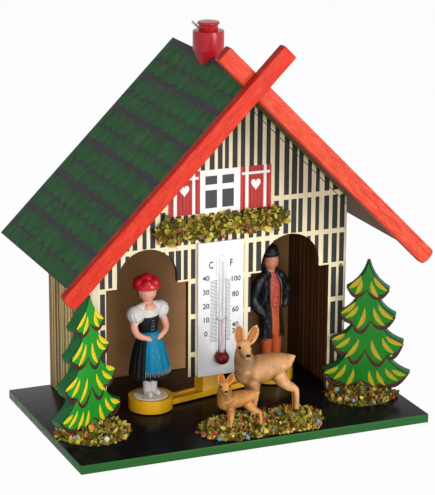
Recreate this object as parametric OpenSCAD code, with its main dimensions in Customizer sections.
// Weather house
// A small wooden house that shows how damp the air is. A gut string hangs in the
// chimney, twists as it dries or dampens, and swings an arm that carries a woman and
// a man in and out of the two doors. A spirit thermometer hangs on the middle post.
// Origin at the centre of the underside of the base, +Z up, the front faces -Y.

/* [Base] */
// Width of the base plate
base_w = 160; // [152:1:190]
// Depth of the base plate, front to back
base_d = 97; // [94:1:120]
// Thickness of the base plate
base_t = 4; // [3:0.5:8]

/* [House] */
// Width of the house over its side walls
house_w = 121; // [117:0.5:130]
// Depth of the porch, from the front edge of the base to the facade
porch_d = 45.2; // [43:0.1:50]
// Thickness of the facade
front_t = 3; // [2:0.1:4]
// Thickness of the side walls
side_t = 5; // [4:0.1:6]
// Thickness of the back wall
back_t = 2.5; // [2:0.1:4]
// Spacing of the grooves in the side walls
groove_pitch = 4; // [3:0.1:6]
// Width of one groove
groove_w = 0.9; // [0.5:0.1:1.2]
// Depth of one groove
groove_d = 0.4; // [0.2:0.05:0.6]

/* [Doors] */
// Width of the wall beside each doorway, at the corner of the house
jamb_w = 8.3; // [7:0.1:11]
// Width of the post between the doorways
post_w = 29.2; // [26:0.1:31]
// Height of the square part of a doorway
shoulder_h = 58.3; // [54:0.1:62]
// Width of the arch over a doorway
arch_w = 27.8; // [26:0.1:32]
// Height of the straight sides of the arch above the shoulders
arch_rise = 2.2; // [0.5:0.1:5]
// Height of the slot under the post, where the arm swings
slot_h = 14.5; // [13.5:0.1:18]

/* [Roof] */
// Height of the ridge above the base plate
ridge_h = 153.6; // [148:0.1:165]
// Width of the roof over its eaves
roof_span = 162.2; // [150:0.1:175]
// Thickness of the roof panels
roof_t = 3.5; // [2.5:0.1:4.5]
// Overhang of the roof behind the base plate
roof_back = 3; // [0:0.1:8]
// Set-back of the front bargeboard from the front edge of the base
verge_set = 4.3; // [2:0.1:8]
// Width of a bargeboard
board_w = 7.5; // [6.5:0.1:10]
// Thickness of a bargeboard
board_t = 5.1; // [4:0.1:6]
// Height of a bargeboard above the roof panel
board_rise = 1.4; // [0.5:0.1:3]
// Length of a bargeboard above the ridge
board_up = 16.8; // [12:0.1:22]
// Length of a bargeboard below the eave
board_down = 5; // [3:0.1:8]
// Radius of the rounded lower end of a bargeboard
board_end_r = 6.5; // [5:0.1:12]

/* [Chimney] */
// Diameter of the chimney
chimney_d = 13.5; // [12:0.1:18]
// Height of the chimney above the ridge
chimney_h = 10.5; // [9:0.1:16]
// Diameter of the plug in the chimney
plug_d = 8.2; // [6:0.1:9]
// Depth of the plug in the chimney
plug_depth = 8; // [5:0.1:8.5]
// Room above and below the string's tail, between the chimney and the plug's head
tail_room = 0.15; // [0.05:0.05:1]
// Diameter of the plug's head
plug_head_d = 9.6; // [9.2:0.1:12]
// Thickness of the plug's head
plug_head_t = 1.3; // [0.8:0.1:2.5]

/* [Gut string] */
// Diameter of the gut string
gut_d = 1; // [0.6:0.05:1.4]
// Depth of the string's end in the plug
gut_grip = 5; // [2:0.1:6]
// Length of the string's loose tail outside the plug
tail_len = 4; // [1:0.1:8]
// Diameter of the gut hole through the ridge
gut_hole_d = 3.2; // [2.4:0.1:5]

/* [Swinging arm] */
// Distance of the arm's axis behind the face of the facade
pivot_d = 13.8; // [12.5:0.1:16]
// Reach of the arm to the woman
woman_reach = 30.4; // [29:0.1:34]
// Reach of the arm to the man
man_reach = 36.1; // [33:0.1:37]
// Turn of the arm at rest, woman forward
arm_turn = 13.5; // [-30:0.5:30]
// Gap between the arm and the base plate
arm_gap = 0.5; // [0.4:0.1:2]
// Diameter of a cup
cup_d = 19.6; // [18:0.1:22]
// Height of a cup
cup_h = 5.8; // [5:0.1:7]
// Width of the arm over both rails
rail_span = 7.6; // [6:0.1:10]
// Width of one rail
rail_w = 1.6; // [1:0.1:2.5]
// Height of the rails
rail_h = 2.4; // [1.6:0.1:3.2]
// Drop of the rails below the rim of a cup
rail_drop = 3.2; // [2.4:0.1:3.4]
// Thickness of the web between the rails
web_t = 0.9; // [0.6:0.1:1.4]
// Width of the hub along the arm
hub_w = 9; // [7:0.1:12]
// Depth of the hub across the arm
hub_d = 6.6; // [6:0.1:10]
// Height of the hub above the rim of a cup
hub_h = 6.2; // [4:0.1:7]
// Diameter of the peg that grips the string
peg_d = 4; // [3:0.1:5]
// Depth of the peg in the hub
peg_depth = 6; // [4:0.1:8]
// Diameter of the peg's head
peg_head_d = 5.6; // [5.2:0.1:6]
// Thickness of the peg's head
peg_head_t = 1.2; // [0.8:0.1:2]

/* [Figures] */
// Diameter of a figure's foot disc
foot_d = 15.2; // [13:0.1:16.5]
// Thickness of a foot disc
foot_t = 2.2; // [1.6:0.1:3]
// Depth of the seat of a foot disc in its cup
foot_seat = 2; // [1:0.1:2.6]
// Height of the woman above her foot disc
woman_h = 55.5; // [50:0.5:57]
// Height of the man above his foot disc
man_h = 57; // [50:0.5:58]
// Lean of the woman to the side
woman_lean = 2; // [0:0.5:3]

/* [Thermometer] */
// Width of the thermometer plate
plate_w = 21.2; // [18:0.1:25]
// Height of the thermometer plate
plate_h = 60.4; // [57:0.1:64]
// Thickness of the thermometer plate
plate_t = 1.6; // [1.2:0.1:2.5]
// Diameter of the glass tube
tube_d = 3.2; // [2.6:0.1:3.8]
// Diameter of the bore in the glass tube
bore_d = 1; // [0.6:0.05:1.4]
// Diameter of the glass bulb
bulb_d = 6.4; // [5.4:0.1:7.4]
// Wall of the glass bulb
bulb_wall = 0.5; // [0.3:0.05:0.8]
// Height of the bulb's centre above the foot of the plate
bulb_z = 8.2; // [6:0.1:11]
// Length of the tube above the bulb's centre
tube_len = 44.8; // [40:0.1:46]
// Length of the red column above the bulb's centre
column_len = 16.5; // [6:0.1:36]
// Height of the wire clip above the bulb's centre
clip_z = 17.6; // [10:0.1:30]
// Thickness of the clip's wire
clip_d = 0.5; // [0.3:0.05:0.7]

/* [Trees and moss] */
// Width of a tree's lowest tier
tree_w = 38.8; // [34:0.1:42]
// Height of a tree's crown
tree_h = 57.5; // [50:0.1:62]
// Thickness of a tree
tree_t = 5; // [3:0.1:6]
// Width of a tree's trunk
trunk_w = 8; // [5:0.1:11]
// Height of the trunk below the crown
trunk_h = 4.5; // [4.4:0.1:7]
// Turn of a tree towards the middle of the porch
tree_turn = 29; // [10:0.5:30]
// Distance of a tree's middle from the side of the base
tree_edge = 15.5; // [15:0.1:17]
// Gap between a tree and the facade
tree_gap = 0.7; // [0.4:0.1:3]
// Radius of a mound of moss under a tree
moss_r = 16.4; // [12:0.1:16.6]
// Shift of a mound of moss from its tree towards the middle of the base
moss_in = 1.5; // [1:0.1:3]
// Height of a mound of moss under a tree
moss_h = 4.2; // [2:0.1:4.3]
// Radius of each hummock in the middle bed of moss
bed_r = 13; // [12:0.1:13.4]
// Height of the hummocks before their tops are levelled
bed_h = 4.6; // [4.4:0.1:6]
// Height of the level top of the bed, where the deer stand
bed_level = 3.2; // [2:0.1:4]
// Spacing of the hummocks
bed_pitch = 11; // [9:0.1:12]
// Number of hummocks
bed_count = 4; // [3:1:5]
// Middle of the bed, to the right of the middle of the base
bed_x = 6.5; // [0:0.1:10]

/* [Garland and deer] */
// Length of the flower garland
garland_len = 62; // [40:0.5:80]
// Height of the garland's bosses
garland_r = 5.4; // [4:0.1:5.8]
// Number of bosses in the garland
garland_count = 9; // [7:1:12]
// Rise of the garland from its left end to its right end
garland_rise = 2; // [0:0.1:4]
// Gap between the thermometer plate and the garland
garland_gap = 1; // [0.5:0.1:4]
// Height of the doe to the tips of its ears
doe_h = 42; // [34:0.1:46]
// Height of the fawn to the tips of its ears
fawn_h = 25.2; // [19:0.1:28]

/* [Fits] */
// Gap of a turning fit, on the radius
turn_fit = 0.05; // [0.02:0.01:0.1]
// Gap of a pressed or glued fit, on the radius
press_fit = 0.02; // [0.01:0.01:0.05]
// Gap round a foot disc, on the radius
seat_fit = 0.15; // [0.05:0.05:0.4]

/* [Nails] */
// Diameter of a nail
nail_d = 0.9; // [0.6:0.1:1.4]
// Length of a nail
nail_len = 10; // [7:0.5:16]
// Diameter of a nail's head
nail_head_d = 1.6; // [1.6:0.1:2.4]
// Thickness of a nail's head
nail_head_t = 0.4; // [0.2:0.1:0.8]
// Heights of the nails above the base plate
nail_heights = [12, 57.4];

/* [Hidden] */

$fn = 64;
// Facets of the small moulded figures
figure_fn = 14;
// Pitch of both roof panels, so that they meet at a right angle
pitch = 45;
// Extra length of a cut past the face that it opens
over = 1;

front_y = porch_d - base_d / 2;
back_y = base_d / 2;
ridge_z = base_t + ridge_h;
slope_len = roof_span / 2 / cos(pitch);
// Height of the gable's peak and eaves above the base, under the roof panels
peak_h = ridge_h - roof_t / cos(pitch);
eave_h = peak_h - house_w / 2 * tan(pitch);
// Width of a doorway, between the post and the corner of the house
door_w = (house_w - post_w) / 2 - jamb_w;
door_x = (post_w + door_w) / 2;
arch_h = shoulder_h + arch_rise;

board_front_y = verge_set - base_d / 2;
board_back_y = board_front_y + board_t;
roof_end_y = back_y + roof_back;

axis_y = front_y + pivot_d;
chimney_top = ridge_z + chimney_h;
arm_z = base_t + arm_gap;
cup_top = arm_z + cup_h;
seat_z = cup_top - foot_seat;
// Height of the plug's neck above the chimney, where the tail leaves it
plug_neck = gut_d / cos(pitch) + (plug_head_d - plug_d) / 2 * tan(pitch) + 2 * tail_room;
hub_top = cup_top + hub_h;
// Lower end of the plug and of the string's grip
plug_low = chimney_top - plug_depth;
gut_low = hub_top - peg_depth;

plate_z = base_t + slot_h;
plate_front = front_y - plate_t;
// Distance of the tube's axis in front of the plate: the tube lies on the plate, and
// the bulb sits in a hole of the plate without touching the facade
tube_stand = max(tube_d / 2, bulb_d / 2 - plate_t) + press_fit;
tube_y = plate_front - tube_stand;
bulb_at = [0, tube_y, plate_z + bulb_z];

tree_y = front_y - tree_gap - tree_t * cos(tree_turn) - tree_w / 2 * sin(tree_turn);
tree_x = base_w / 2 - tree_edge;
bed_y = -base_d / 2 + bed_r + over;
bed_top = base_t + bed_level;
garland_z = plate_z + plate_h + garland_gap + garland_r + garland_rise / 2;

// Points of a quadratic curve from a to c that sets out towards b, without a itself
function bend(a, b, c, n = 5) = [
    for (i = [1 : n]) let (t = i / n) (1 - t) * (1 - t) * a + 2 * t * (1 - t) * b + t * t * c
];
// Point part of the way from a to b, with its own share across and up
function part(a, b, across, up) = [a.x + (b.x - a.x) * across, a.y + (b.y - a.y) * up];
// Radius of the sphere whose cap has this radius and height
function cap_r(r, h) = (r * r + h * h) / (2 * h);

// Rounded members: a ball at each point, joined to the next
module chain(points, radii) {
    for (i = [0 : len(points) - 2]) hull() {
        translate(points[i]) sphere(radii[i], $fn = figure_fn);
        translate(points[i + 1]) sphere(radii[i + 1], $fn = figure_fn);
    }
}

// The same on the left and the right
module both_sides() {
    children();
    mirror([1, 0, 0]) children();
}

// Places a child that stands on the axis of the arm
module on_axis(z = 0) {
    translate([0, axis_y, z]) children();
}

// Places a child in the frame of the resting arm, the man's end along +X
module on_arm(z = 0) {
    on_axis(z) rotate([0, 0, arm_turn]) children();
}

// Frame of the right slope: X runs down from the ridge, Z stands out of the roof
module on_slope() {
    translate([0, 0, ridge_z]) rotate([0, pitch, 0]) children();
}

module base_plate() {
    color("#16181a")
    translate([-base_w / 2, -base_d / 2, 0])
    cube([base_w, base_d, base_t]);
}

// Gable wall, with its foot on the X axis
module gable_outline() {
    polygon([
        [-house_w / 2, 0], [house_w / 2, 0], [house_w / 2, eave_h],
        [0, peak_h], [-house_w / 2, eave_h]
    ]);
}

// Doorway with a square body and a narrower arch on its shoulders
module doorway_outline() {
    translate([-door_w / 2, -over]) square([door_w, shoulder_h + over]);
    translate([-arch_w / 2, 0]) square([arch_w, arch_h]);
    translate([0, arch_h]) circle(d = arch_w);
}

// Every nail's place on the face of the facade
module at_nails() {
    for (side = [-1, 1], z = nail_heights) {
        translate([side * (house_w - side_t) / 2, front_y, base_t + z])
        rotate([-90, 0, 0])
        children();
    }
}

module nail_holes() {
    at_nails() translate([0, 0, -over]) cylinder(d = nail_d + 2 * press_fit, h = nail_len + over);
}

module front_wall() {
    color("#e9dcb4")
    difference() {
        translate([0, front_y + front_t, base_t])
        rotate([90, 0, 0])
        linear_extrude(front_t)
        difference() {
            gable_outline();
            for (side = [-1, 1]) translate([side * door_x, 0]) doorway_outline();
            translate([-door_x, -over]) square([2 * door_x, slot_h + over]);
        }
        nail_holes();
    }
}

// Right side wall: its top is cut to the slope, and both faces are grooved
module side_wall() {
    wall_y = front_y + front_t;
    wall_d = back_y - back_t - wall_y;
    outer = house_w / 2;
    inner = outer - side_t;
    grooves = floor(wall_d / groove_pitch);
    first = wall_y + (wall_d - (grooves - 1) * groove_pitch) / 2;
    groove_h = eave_h + side_t + over;
    difference() {
        translate([0, wall_y + wall_d, base_t])
        rotate([90, 0, 0])
        linear_extrude(wall_d)
        polygon([[inner, 0], [outer, 0], [outer, eave_h], [inner, eave_h + side_t]]);
        for (i = [0 : grooves - 1], x = [inner - over, outer - groove_d]) {
            translate([x, first + i * groove_pitch - groove_w / 2, base_t - over])
            cube([groove_d + over, groove_w, groove_h + over]);
        }
        nail_holes();
    }
}

module right_wall() {
    color("#8b6a45") side_wall();
}

module left_wall() {
    color("#8b6a45") mirror([1, 0, 0]) side_wall();
}

module back_wall() {
    color("#6a4c2f")
    translate([0, back_y, base_t])
    rotate([90, 0, 0])
    linear_extrude(back_t)
    gable_outline();
}

// Right roof panel: start is its distance from the ridge, measured down the slope
module roof_panel(start, front) {
    difference() {
        on_slope()
        translate([start, front, -roof_t])
        cube([slope_len - start, roof_end_y - front, roof_t]);
        on_axis(ridge_z - slope_len) cylinder(d = gut_hole_d, h = slope_len + over);
    }
}

// The left panel reaches over the end of the right one and is notched for the board
// that crosses behind its own
module roof_left() {
    color("#2c5a33")
    difference() {
        mirror([1, 0, 0]) roof_panel(0, board_back_y);
        crossing_board(board_back_y);
    }
}

module roof_right() {
    color("#2c5a33") roof_panel(roof_t, board_back_y + board_t);
}

// Right bargeboard with a rounded lower end
module crossing_board(front) {
    tip = slope_len + board_down;
    half = board_w / 2;
    // Depth of the arc at the lower end
    sag = board_end_r - sqrt(board_end_r * board_end_r - half * half);
    on_slope()
    translate([0, front + board_t, board_rise - half])
    rotate([90, 0, 0])
    linear_extrude(board_t) {
        translate([-board_up, -half]) square([tip - sag + board_up, board_w]);
        intersection() {
            translate([tip - board_end_r, 0]) circle(board_end_r);
            translate([tip - sag, -half]) square([sag, board_w]);
        }
    }
}

module bargeboard_left() {
    color("#d8402a") mirror([1, 0, 0]) crossing_board(board_front_y);
}

module bargeboard_right() {
    color("#d8402a") crossing_board(board_back_y);
}

// Turned chimney that sits astride the ridge
module chimney() {
    foot = ridge_z - chimney_d / 2 * tan(pitch);
    color("#b5202a")
    difference() {
        on_axis(foot) cylinder(d = chimney_d, h = chimney_top - foot);
        translate([0, axis_y + chimney_d, ridge_z])
        rotate([90, 0, 0])
        linear_extrude(2 * chimney_d)
        polygon([[0, 0], [chimney_d, -chimney_d], [-chimney_d, -chimney_d]]);
        on_axis(plug_low - turn_fit) cylinder(d = plug_d + 2 * turn_fit, h = plug_depth + over);
        on_axis(foot) cylinder(d = gut_hole_d, h = chimney_h);
    }
}

// Plug that holds the top of the string and is turned to set the figures
module chimney_plug() {
    head_z = chimney_top + plug_neck;
    edge = plug_head_t / 3;
    color("#b5202a")
    difference() {
        on_axis()
        rotate_extrude()
        polygon([
            [0, plug_low], [plug_d / 2, plug_low], [plug_d / 2, head_z],
            [plug_head_d / 2 - edge, head_z], [plug_head_d / 2, head_z + edge],
            [plug_head_d / 2, head_z + 2 * edge], [plug_head_d / 2 - edge, head_z + plug_head_t],
            [0, head_z + plug_head_t]
        ]);
        on_axis(plug_low - over) cylinder(d = gut_d + 2 * turn_fit, h = gut_grip + over);
        tail_rod(gut_d / 2 + press_fit);
    }
}

// The tail leaves the neck to the left and rises at the slope of the roof
module tail_rod(r) {
    tail_way = 157;
    buried = plug_d / 4;
    on_axis(chimney_top + tail_room + gut_d / 2 / cos(pitch))
    rotate([0, 0, tail_way])
    translate([plug_d / 2, 0, 0])
    rotate([0, pitch, 0])
    translate([0, 0, -buried])
    cylinder(r = r, h = buried + tail_len);
}

module gut_tail() {
    color("#d9cfae") tail_rod(gut_d / 2);
}

module gut_string() {
    color("#d9cfae")
    on_axis(gut_low)
    cylinder(d = gut_d, h = plug_low + gut_grip - turn_fit - gut_low);
}

// Peg in the hub, bored for the string
module gut_peg() {
    color("#c9a468")
    difference() {
        on_axis(gut_low)
        rotate_extrude()
        polygon([
            [0, 0], [peg_d / 2, 0], [peg_d / 2, peg_depth], [peg_head_d / 2, peg_depth],
            [peg_head_d / 2, peg_depth + peg_head_t], [0, peg_depth + peg_head_t]
        ]);
        on_axis(gut_low - over)
        cylinder(d = gut_d + 2 * press_fit, h = peg_depth + peg_head_t + 2 * over);
    }
}

// Rails and web from the hub to one cup
module arm_bar(reach) {
    low = cup_top - rail_drop - rail_h;
    for (side = [-1, 1]) {
        translate([0, side * (rail_span - rail_w) / 2 - rail_w / 2, low])
        cube([reach, rail_w, rail_h]);
    }
    translate([0, -rail_span / 2, low]) cube([reach, rail_span, web_t]);
}

module swing_arm() {
    color("#e0a21e")
    difference() {
        on_arm() {
            arm_bar(man_reach);
            mirror([1, 0, 0]) arm_bar(woman_reach);
            translate([man_reach, 0, arm_z]) cylinder(d = cup_d, h = cup_h);
            translate([-woman_reach, 0, arm_z]) cylinder(d = cup_d, h = cup_h);
            translate([-hub_w / 2, -hub_d / 2, arm_z]) cube([hub_w, hub_d, hub_top - arm_z]);
        }
        on_arm(seat_z)
        for (x = [man_reach, -woman_reach]) {
            translate([x, 0, 0]) cylinder(d = foot_d + 2 * seat_fit, h = foot_seat + over);
        }
        on_axis(gut_low) cylinder(d = peg_d + 2 * press_fit, h = peg_depth + over);
    }
}

module foot_disc() {
    cylinder(d = foot_d, h = foot_t, $fn = 36);
}

// Shapes of a figure are drawn 55 tall, from the top of the disc to the top of the hat
module figure_frame(height, lean) {
    foot_disc();
    translate([0, 0, foot_t]) rotate([0, -lean, 0]) scale(height / 55) children();
}

// Woman with a bobble hat, puffed sleeves, a wide skirt and an apron
module woman_shape() {
    both_sides() {
        chain([[1.5, -1.6, 0.9], [1.5, 0.4, 1.2], [1.4, 0, 11]], [1.1, 1.4, 1.9]);
        chain([[7.2, -0.4, 35], [7.4, -2.4, 29.4], [1.6, -5.7, 26.8]], [1.6, 1.4, 1.2]);
        translate([6.3, 0, 37.6]) sphere(3.8, $fn = figure_fn);
    }
    rotate_extrude($fn = 28)
    polygon(concat([[0, 9.3], [8.8, 9.3], [9.1, 9.9]], bend([9.1, 9.9], [5.6, 20], [4, 29]), [[0, 29]]));
    intersection() {
        rotate_extrude($fn = 28)
        polygon(concat([[0, 11.3], [9.4, 11.3]], bend([9.4, 11.3], [6, 21], [4.4, 29]), [[0, 29]]));
        translate([-6, -20, 0]) cube([12, 18, 32]);
    }
    scale([1, 0.78, 1]) chain([[0, 0, 29], [0, 0, 34], [0, 0, 38]], [3.9, 5, 4.8]);
    chain([[-4.4, 0.2, 39.2], [4.4, 0.2, 39.2]], [2.3, 2.3]);
    translate([0, 0.2, 38]) cylinder(r = 1.9, h = 6, $fn = figure_fn);
    translate([0, 0, 46.6]) scale([1, 1, 1.16]) sphere(4, $fn = 20);
    translate([0, 0.8, 47.2]) sphere(4.2, $fn = 20);
    translate([0, 0.2, 49.6]) scale([1, 1, 0.32]) sphere(6.1, $fn = 24);
    for (a = [0 : 60 : 300]) {
        rotate([0, 0, a]) translate([3.5, 0.2, 51.2]) sphere(2.4, $fn = figure_fn);
    }
    translate([0, 0.2, 49.6]) cylinder(r = 2.4, h = 3, $fn = figure_fn);
    translate([0, 0.2, 52.4]) sphere(2.6, $fn = figure_fn);
}

// Man with a round hat, an open coat with his hands in its pockets, and high boots
module man_shape() {
    both_sides() {
        chain([[2.2, -2, 1.1], [2.1, 0.3, 1.4], [2, 0.2, 14]], [1.4, 1.8, 2.4]);
        chain([[6, 0.3, 38.6], [8.2, 1, 32], [5.8, -2, 25]], [2.3, 2, 1.8]);
    }
    difference() {
        scale([1, 0.78, 1])
        rotate_extrude($fn = 28)
        polygon(concat([[0, 12.6], [6.2, 12.6]], bend([6.2, 12.6], [5.2, 21], [5.2, 28]),
            bend([5.2, 28], [6, 34], [5.6, 38.6]), [[3.4, 41.6], [0, 41.6]]));
        translate([0, -6, 0])
        linear_extrude(50)
        polygon([[-2.2, 0], [2.2, 0], [1.6, 4.4], [-1.6, 4.4]]);
    }
    scale([1, 0.74, 1]) chain([[0, 0.3, 13], [0, 0.2, 27], [0, 0.2, 37]], [3.4, 4, 4.5]);
    chain([[-4.6, 0.2, 38.8], [4.6, 0.2, 38.8]], [2.4, 2.4]);
    translate([0, 0.2, 38]) cylinder(r = 2, h = 6, $fn = figure_fn);
    translate([0, 0, 46.6]) scale([1, 1, 1.14]) sphere(3.9, $fn = 20);
    translate([0, 0.7, 47]) sphere(3.9, $fn = 20);
    translate([0, 0.2, 50]) scale([1, 1, 0.24]) sphere(4.6, $fn = 24);
    translate([0, 0.3, 50.8]) scale([1, 1, 1.05]) sphere(4, $fn = 20);
}

module woman_figure() {
    color("#c0202c") on_arm(seat_z) translate([-woman_reach, 0, 0]) figure_frame(woman_h, woman_lean) woman_shape();
}

module man_figure() {
    color("#26282c") on_arm(seat_z) translate([man_reach, 0, 0]) figure_frame(man_h, 0) man_shape();
}

module thermometer_plate() {
    color("white")
    difference() {
        translate([-plate_w / 2, plate_front, plate_z]) cube([plate_w, plate_t, plate_h]);
        translate(bulb_at) rotate([-90, 0, 0]) cylinder(d = bulb_d + 2 * seat_fit, h = bulb_d);
        clip_legs(clip_d / 2 + press_fit);
    }
}

// Tube with a blown bulb and a round end, drawn once for the glass and once for its hollow
module glass_outline(d, ball, top) {
    translate(bulb_at) sphere(d = ball);
    translate(bulb_at) cylinder(d = d, h = top);
    translate(bulb_at + [0, 0, top]) sphere(d = d);
}

module thermometer_tube() {
    color("#dfe8ea", 0.5)
    difference() {
        glass_outline(tube_d, bulb_d, tube_len);
        glass_outline(bore_d, bulb_d - 2 * bulb_wall, tube_len - tube_d / 2);
    }
}

module thermometer_spirit() {
    color("#a01622") {
        translate(bulb_at) sphere(d = bulb_d - 2 * bulb_wall - 2 * press_fit);
        translate(bulb_at) cylinder(d = bore_d - 2 * press_fit, h = column_len);
    }
}

// Two legs of the wire clip, from the middle of the tube into the plate
module clip_legs(r) {
    reach = tube_d / 2 + press_fit + clip_d / 2;
    for (side = [-1, 1]) {
        translate(bulb_at + [side * reach, 0, clip_z])
        rotate([-90, 0, 0])
        cylinder(r = r, h = tube_stand + plate_t);
    }
}

module tube_clip() {
    reach = tube_d / 2 + press_fit + clip_d / 2;
    color("#55585a") {
        translate(bulb_at + [0, 0, clip_z])
        rotate([0, 0, 180])
        rotate_extrude(angle = 180)
        translate([reach, 0])
        circle(d = clip_d);
        clip_legs(clip_d / 2);
    }
}

module facade_nails() {
    color("#4a4a48")
    at_nails() {
        translate([0, 0, -nail_head_t]) cylinder(d = nail_head_d, h = nail_head_t);
        cylinder(d = nail_d, h = nail_len - press_fit);
    }
}

// Row of leafy bosses on the facade, cut flat where they are glued
module flower_garland() {
    step = (garland_len - 2 * garland_r) / (garland_count - 1);
    color("#7d7f2b")
    intersection() {
        union() {
            for (i = [0 : garland_count - 1]) {
                lift = (i / (garland_count - 1) - 0.5) * garland_rise;
                translate([-garland_len / 2 + garland_r + i * step, front_y, garland_z + lift])
                sphere(garland_r);
            }
        }
        translate([-garland_len / 2 - over, front_y - 2 * garland_r, garland_z - 2 * garland_r])
        cube([garland_len + 2 * over, 2 * garland_r, 4 * garland_r]);
    }
}

// Tree of four tiers whose sides sweep out to a tip, from the top down. Tips and
// waists are shares of half the width and of the height of the crown.
module tree_outline() {
    tips = [[0.49, 0.21], [0.65, 0.415], [0.84, 0.63], [1, 0.88]];
    waists = [[0.03, 0], [0.24, 0.272], [0.355, 0.505], [0.5, 0.75], [0.3, 1]];
    size = [tree_w / 2, -tree_h];
    tip = [for (p = tips) [p.x * size.x, p.y * size.y]];
    waist = [for (p = waists) [p.x * size.x, p.y * size.y]];
    crown = [for (i = [0 : len(tips) - 1]) each concat(
        bend(waist[i], part(waist[i], tip[i], 0.25, 0.7), tip[i]),
        bend(tip[i], part(tip[i], waist[i + 1], 0.2, 0.9), waist[i + 1])
    )];
    trunk = [[trunk_w / 2, -tree_h], [trunk_w / 2, -tree_h - trunk_h]];
    edge = concat([waist[0]], crown, trunk);
    last = len(edge) - 1;
    polygon(concat(edge, [for (i = [0 : last]) [-edge[last - i].x, edge[last - i].y]]));
}

// Places a child in the frame of a standing tree, its face towards -Y
module on_tree(side) {
    translate([side * tree_x, tree_y, base_t]) rotate([0, 0, -side * tree_turn]) children();
}

module tree(side) {
    color("#2f8f3a")
    on_tree(side)
    translate([0, tree_t, tree_h + trunk_h])
    rotate([90, 0, 0])
    linear_extrude(tree_t)
    tree_outline();
}

module tree_left() {
    tree(-1);
}

module tree_right() {
    tree(1);
}

// Low round mound with its flat foot on the base plate
module mound(r, h, level) {
    ball = cap_r(r, h);
    intersection() {
        translate([0, 0, h - ball]) sphere(ball, $fn = 180);
        translate([-r, -r, 0]) cube([2 * r, 2 * r, level]);
    }
}

// Mound round the foot of a tree, laid against the corner of the house
module tree_moss(side) {
    cut_h = moss_h + 2 * over;
    color("#6f6d2a")
    difference() {
        translate([side * (tree_x - moss_in), tree_y + tree_t / 2, base_t])
        mound(moss_r, moss_h, moss_h + over);
        on_tree(side) translate([-trunk_w / 2, 0, -over]) cube([trunk_w, tree_t, cut_h]);
        translate([-house_w / 2 - press_fit, front_y - press_fit, base_t - over])
        cube([house_w + 2 * press_fit, base_d, cut_h]);
    }
}

module moss_left() {
    tree_moss(-1);
}

module moss_right() {
    tree_moss(1);
}

module moss_middle() {
    color("#6f6d2a")
    for (i = [0 : bed_count - 1]) {
        translate([bed_x + (i - (bed_count - 1) / 2) * bed_pitch, bed_y, base_t])
        mound(bed_r, bed_h, bed_level);
    }
}

// Standing deer that looks over its shoulder, drawn 42 tall, facing -X, hind legs stretched back
module deer_shape() {
    chain([[-8.2, 0, 20], [0, 0, 21], [6.8, 0, 22.2]], [6.2, 5.9, 5.1]);
    chain([[6.8, 0, 22.4], [10.6, 0, 23.2]], [4.8, 2.5]);
    for (side = [-1, 1]) {
        chain([[5, side * 1.8, 18.4], [8.6, side * 2.2, 13], [12.7, side * 2.2, 10.2]], [3.9, 2.3, 1.6]);
        chain([[12.7, side * 2.2, 10.2], [13.4, side * 2.1, 1.1]], [1.6, 1.1]);
        chain([[-6.8, side * 2, 16], [-6, side * 2.1, 9], [-6.6, side * 2, 1.1]], [3.6, 1.9, 1.1]);
        for (x = [13.4, -6.6]) translate([x, side * 2.05, 0]) cylinder(r = 1.3, h = 1.3, $fn = figure_fn);
    }
    chain([[-9.4, 0, 23], [-10.6, -0.4, 29.4]], [5, 3.5]);
    chain([[-10.5, -1, 31.4], [-10.9, -6, 29.2]], [3.4, 1.6]);
    chain([[-12.6, -0.4, 33.6], [-13.1, 0, 37.6], [-12.7, 0.2, 41.3]], [1.5, 1.9, 0.7]);
    chain([[-8.2, -0.2, 33.6], [-6, 0.2, 37], [-4.7, 0.4, 39.8]], [1.5, 1.9, 0.7]);
    chain([[12.1, 0, 24.4], [12.8, 0, 22.4]], [1.2, 0.8]);
}

module deer_frame(height, place, turn, stretch) {
    translate([place.x, place.y, bed_top])
    rotate([0, 0, turn])
    scale(height / 42)
    scale([stretch, 1, 1])
    deer_shape();
}

module doe() {
    color("#c79a68") deer_frame(doe_h, [bed_x + 4, bed_y + 4], -4, 1);
}

module fawn() {
    color("#c8853f") deer_frame(fawn_h, [bed_x - 12.5, bed_y - 5.5], -8, 1.1);
}

base_plate();
front_wall();
left_wall();
right_wall();
back_wall();
roof_left();
roof_right();
bargeboard_left();
bargeboard_right();
chimney();
chimney_plug();
gut_tail();
gut_string();
gut_peg();
swing_arm();
woman_figure();
man_figure();
thermometer_plate();
thermometer_tube();
thermometer_spirit();
tube_clip();
facade_nails();
flower_garland();
tree_left();
tree_right();
moss_left();
moss_right();
moss_middle();
doe();
fawn();
